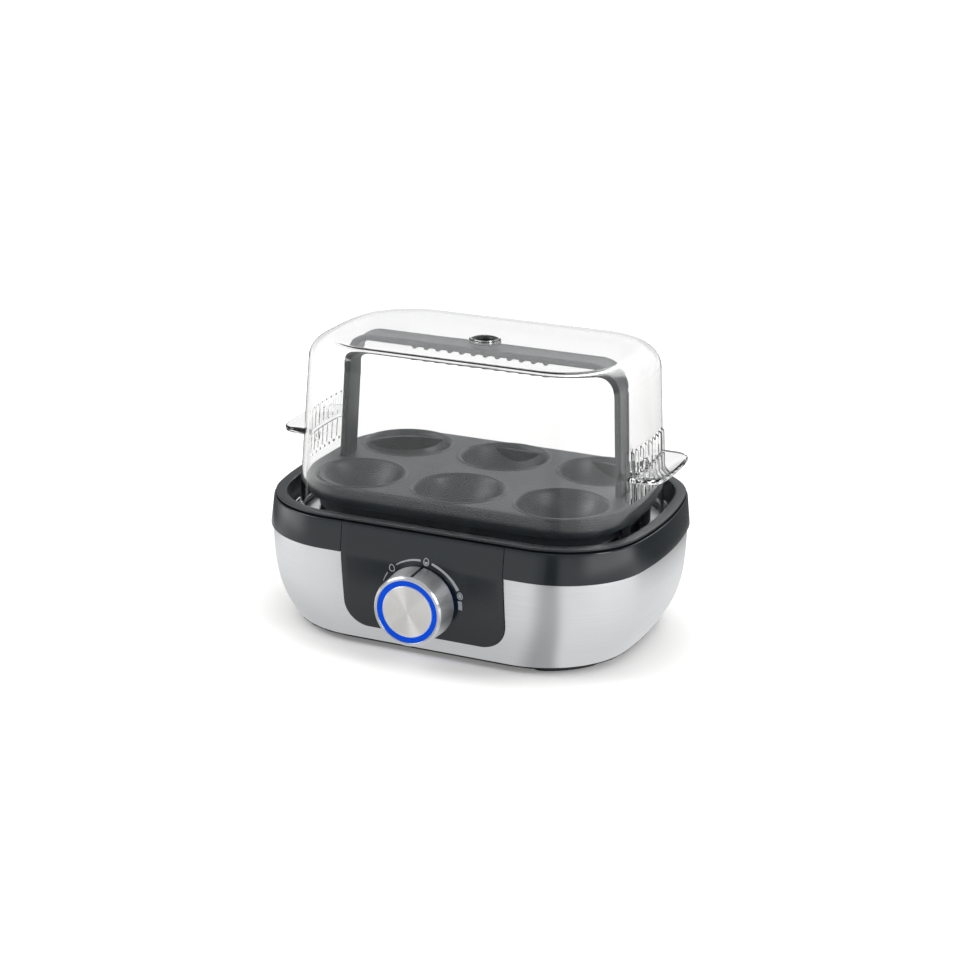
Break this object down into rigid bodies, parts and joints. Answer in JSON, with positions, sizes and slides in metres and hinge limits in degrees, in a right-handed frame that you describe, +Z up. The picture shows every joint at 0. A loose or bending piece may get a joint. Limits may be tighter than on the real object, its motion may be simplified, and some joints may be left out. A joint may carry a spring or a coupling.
{
  "type": "egg boiler",
  "caption": "Electric egg boiler with a steel-skirted oblong base, lit rotary dial with a push button, steel water pan, lift-out egg tray with bow handle, and a clear hood with a steam vent",
  "frame": {"origin": "on the table, under the middle of the whole footprint, knob included; the oblong body is centred 6.9 mm behind it", "axes": "+X right along the body's length, +Y back, +Z up"},
  "size_m": [0.1926, 0.1526, 0.1364],
  "materials": {
    "black_plastic": "moulded matt black",
    "skirt_steel": "satin stainless sheet, brushed along its length",
    "band_plastic": "semi-gloss anthracite",
    "frame_plastic": "semi-gloss anthracite",
    "panel_plastic": "smooth anthracite",
    "foot_rubber": "matt black rubber",
    "screw_steel": "zinc plated",
    "silicone": "matt red-brown silicone",
    "pan_steel": "bright drawn stainless",
    "heater_aluminium": "plain aluminium",
    "ceramic": "unglazed ceramic",
    "copper": "plain copper",
    "board_green": "green circuit board",
    "blue_light": "translucent diffuser, lit blue",
    "knob_chrome": "polished metal sleeve",
    "spun_metal": "spun warm silver",
    "tray_plastic": "satin dark grey",
    "clear_plastic": "clear moulded plastic"
  },
  "bodies": {
    "base": {"base_plate": "black_plastic", "steel_skirt": "skirt_steel", "outer_band": "band_plastic", "top_frame": "frame_plastic", "control_panel": "panel_plastic", "foot_front_left": "foot_rubber", "foot_front_right": "foot_rubber", "foot_rear_left": "foot_rubber", "foot_rear_right": "foot_rubber", "base_screw_front_left": "screw_steel", "base_screw_front_right": "screw_steel", "base_screw_rear_left": "screw_steel", "base_screw_rear_right": "screw_steel", "pan_seal": "silicone", "heating_pan": "pan_steel", "pan_screw_left": "screw_steel", "pan_screw_right": "screw_steel", "pan_screw_front": "screw_steel", "pan_screw_rear": "screw_steel", "heat_spreader": "heater_aluminium", "heating_element": "heater_aluminium", "thermostat": "ceramic", "thermal_fuse": "copper", "temperature_sensor": "copper", "mains_board": "board_green", "relay": "black_plastic", "transformer": "black_plastic", "filter_capacitor": "heater_aluminium", "buzzer": "black_plastic", "board_screw_front_left": "screw_steel", "board_screw_front_right": "screw_steel", "board_screw_rear_left": "screw_steel", "board_screw_rear_right": "screw_steel", "terminal_block": "ceramic", "heater_lead_left": "silicone", "heater_lead_right": "silicone", "cord_gland": "black_plastic", "gland_nut": "black_plastic", "control_board": "board_green", "rotary_encoder": "heater_aluminium", "start_switch": "black_plastic", "control_bracket": "black_plastic", "indicator_led_1": "blue_light", "indicator_led_2": "blue_light", "indicator_led_3": "blue_light", "indicator_led_4": "blue_light"},
    "knob": {"knob_shell": "knob_chrome", "knob_index": "black_plastic", "light_ring": "blue_light", "knob_shaft": "heater_aluminium"},
    "button": {"knob_button": "spun_metal"},
    "tray": {"egg_tray": "tray_plastic", "tray_handle": "tray_plastic"},
    "hood": {"clear_hood": "clear_plastic", "vent_bush": "black_plastic"}
  },
  "joints": [
    {"name": "dial_turn", "type": "hinge", "parent": "base", "child": "knob", "pos_m": [0, -0.0681, 0.0297], "axis": [0, 1, 0], "range_deg": [-73, 87]},
    {"name": "button_press", "type": "slide", "parent": "knob", "child": "button", "axis": [0, 1, 0], "range_m": [0, 0.0012], "stiffness_N_per_m": 400},
    {"name": "tray_lift", "type": "slide", "parent": "base", "child": "tray", "axis": [0, 0, 1], "range_m": [0, 0.11]},
    {"name": "hood_lift", "type": "slide", "parent": "tray", "child": "hood", "axis": [0, 0, 1], "range_m": [0, 0.09]}
  ]
}
